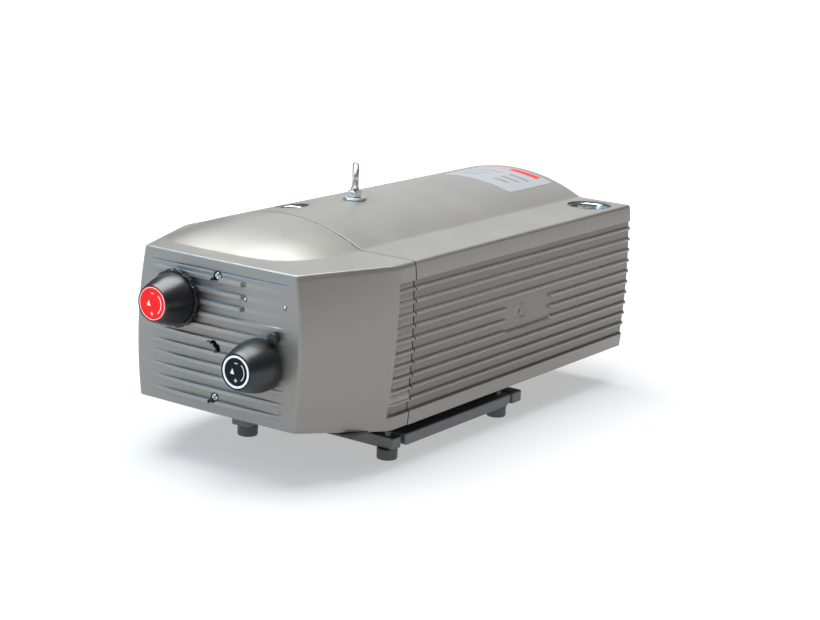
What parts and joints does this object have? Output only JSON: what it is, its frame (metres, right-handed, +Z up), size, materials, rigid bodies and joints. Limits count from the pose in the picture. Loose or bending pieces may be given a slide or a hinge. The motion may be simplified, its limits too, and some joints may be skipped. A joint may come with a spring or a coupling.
{
  "type": "rotary vane vacuum pump",
  "caption": "Rotary vane vacuum pump in a ribbed cast housing, with its motor inside, two regulating knobs, two ports on top and a lifting eye.",
  "frame": {"origin": "on the floor, in the middle of the whole pump's box", "axes": "+X to the right seen from the knobs, +Y to the rear, +Z up"},
  "size_m": [0.332, 0.7394, 0.329],
  "materials": {
    "cast_paint": "silver-grey textured paint on cast aluminium",
    "black_plastic": "black moulded plastic, fine satin grain",
    "red_plastic": "red moulded plastic with printed signs",
    "zinc_steel": "zinc-plated steel",
    "bright_steel": "bright turned steel",
    "spring_steel": "oiled spring steel",
    "cast_iron": "machined grey cast iron",
    "raw_aluminium": "bare cast aluminium",
    "carbon": "carbon composite",
    "copper_winding": "enamelled copper winding in a laminated core",
    "foot_rubber": "dark grey rubber",
    "filter_felt": "pleated filter felt",
    "sheet_steel": "galvanised sheet steel",
    "brass": "turned brass"
  },
  "bodies": {
    "frame": {"main_cover": "cast_paint", "front_hood": "cast_paint", "hood_screw_upper": "zinc_steel", "hood_screw_lower": "zinc_steel", "base_front_bar": "cast_paint", "base_rear_bar": "cast_paint", "base_rail_left": "cast_paint", "base_rail_right": "cast_paint", "bottom_tray": "sheet_steel", "suction_port_socket": "bright_steel", "exhaust_port_socket": "bright_steel", "eyebolt": "zinc_steel", "eyebolt_nut": "zinc_steel", "eyebolt_washer": "zinc_steel", "foot_front_left": "foot_rubber", "foot_front_right": "foot_rubber", "foot_rear_left": "foot_rubber", "foot_rear_right": "foot_rubber", "vacuum_lock_ring": "black_plastic", "pressure_knob_stop": "black_plastic", "pump_cylinder": "cast_iron", "pump_shield_front": "cast_iron", "pump_shield_rear": "cast_iron", "pump_bearing_front": "bright_steel", "pump_bearing_rear": "bright_steel", "shaft_seal": "foot_rubber", "motor_housing": "raw_aluminium", "motor_shield_rear": "raw_aluminium", "motor_stator": "copper_winding", "motor_bearing_front": "bright_steel", "motor_bearing_rear": "bright_steel", "fan_shroud": "sheet_steel", "terminal_box": "raw_aluminium", "cable_gland": "black_plastic", "filter_housing": "raw_aluminium", "filter_cartridge": "filter_felt", "silencer_can": "raw_aluminium", "vacuum_valve_body": "raw_aluminium", "vacuum_spring": "spring_steel", "pressure_valve_body": "raw_aluminium", "pressure_spring": "spring_steel"},
    "rotor": {"pump_rotor": "cast_iron", "rotor_shaft": "bright_steel", "motor_rotor": "sheet_steel", "cooling_fan": "black_plastic"},
    "vane_1": {"vane_1": "carbon"},
    "vane_2": {"vane_2": "carbon"},
    "vane_3": {"vane_3": "carbon"},
    "vane_4": {"vane_4": "carbon"},
    "vacuum_knob_unit": {"vacuum_knob": "black_plastic", "vacuum_knob_disc": "red_plastic", "vacuum_spindle": "brass"},
    "vacuum_nut": {"vacuum_spring_nut": "brass"},
    "vacuum_plate": {"vacuum_valve_plate": "brass"},
    "pressure_knob_unit": {"pressure_knob": "black_plastic", "pressure_knob_disc": "black_plastic", "pressure_spindle": "brass"},
    "pressure_nut": {"pressure_spring_nut": "brass"},
    "pressure_plate": {"pressure_valve_plate": "brass"}
  },
  "joints": [
    {"name": "rotor_spin", "type": "hinge", "parent": "frame", "child": "rotor", "pos_m": [-0.033, 0, 0.159], "axis": [0, 1, 0], "continuous": true},
    {"name": "vane_1_slide", "type": "slide", "parent": "rotor", "child": "vane_1", "axis": [0.7071, 0, 0.7071], "range_m": [0, 0.0024]},
    {"name": "vane_2_slide", "type": "slide", "parent": "rotor", "child": "vane_2", "axis": [0.7071, 0, -0.7071], "range_m": [0, 0.0024]},
    {"name": "vane_3_slide", "type": "slide", "parent": "rotor", "child": "vane_3", "axis": [-0.7071, 0, -0.7071], "range_m": [0, 0.0024]},
    {"name": "vane_4_slide", "type": "slide", "parent": "rotor", "child": "vane_4", "axis": [-0.7071, 0, 0.7071], "range_m": [0, 0.0024]},
    {"name": "vacuum_knob_turn", "type": "hinge", "parent": "frame", "child": "vacuum_knob_unit", "pos_m": [-0.056, -0.32425, 0.201], "axis": [0, 1, 0], "range_deg": [-630, 630]},
    {"name": "vacuum_nut_slide", "type": "slide", "parent": "frame", "child": "vacuum_nut", "axis": [0, 1, 0], "range_m": [-0.0053, 0.0053], "deforming": ["vacuum_spring"]},
    {"name": "vacuum_valve_lift", "type": "slide", "parent": "frame", "child": "vacuum_plate", "axis": [0, -1, 0], "range_m": [0, 0.004]},
    {"name": "pressure_knob_turn", "type": "hinge", "parent": "frame", "child": "pressure_knob_unit", "pos_m": [0.07, -0.32425, 0.1445], "axis": [0, 1, 0], "range_deg": [-630, 630]},
    {"name": "pressure_nut_slide", "type": "slide", "parent": "frame", "child": "pressure_nut", "axis": [0, 1, 0], "range_m": [-0.0053, 0.0053], "deforming": ["pressure_spring"]},
    {"name": "pressure_valve_lift", "type": "slide", "parent": "frame", "child": "pressure_plate", "axis": [0, -1, 0], "range_m": [0, 0.004]}
  ],
  "couplings": [
    {"joint": "vacuum_nut_slide", "follows": "vacuum_knob_turn", "m_per_rad": 0.00047746},
    {"joint": "pressure_nut_slide", "follows": "pressure_knob_turn", "m_per_rad": 0.00047746}
  ]
}
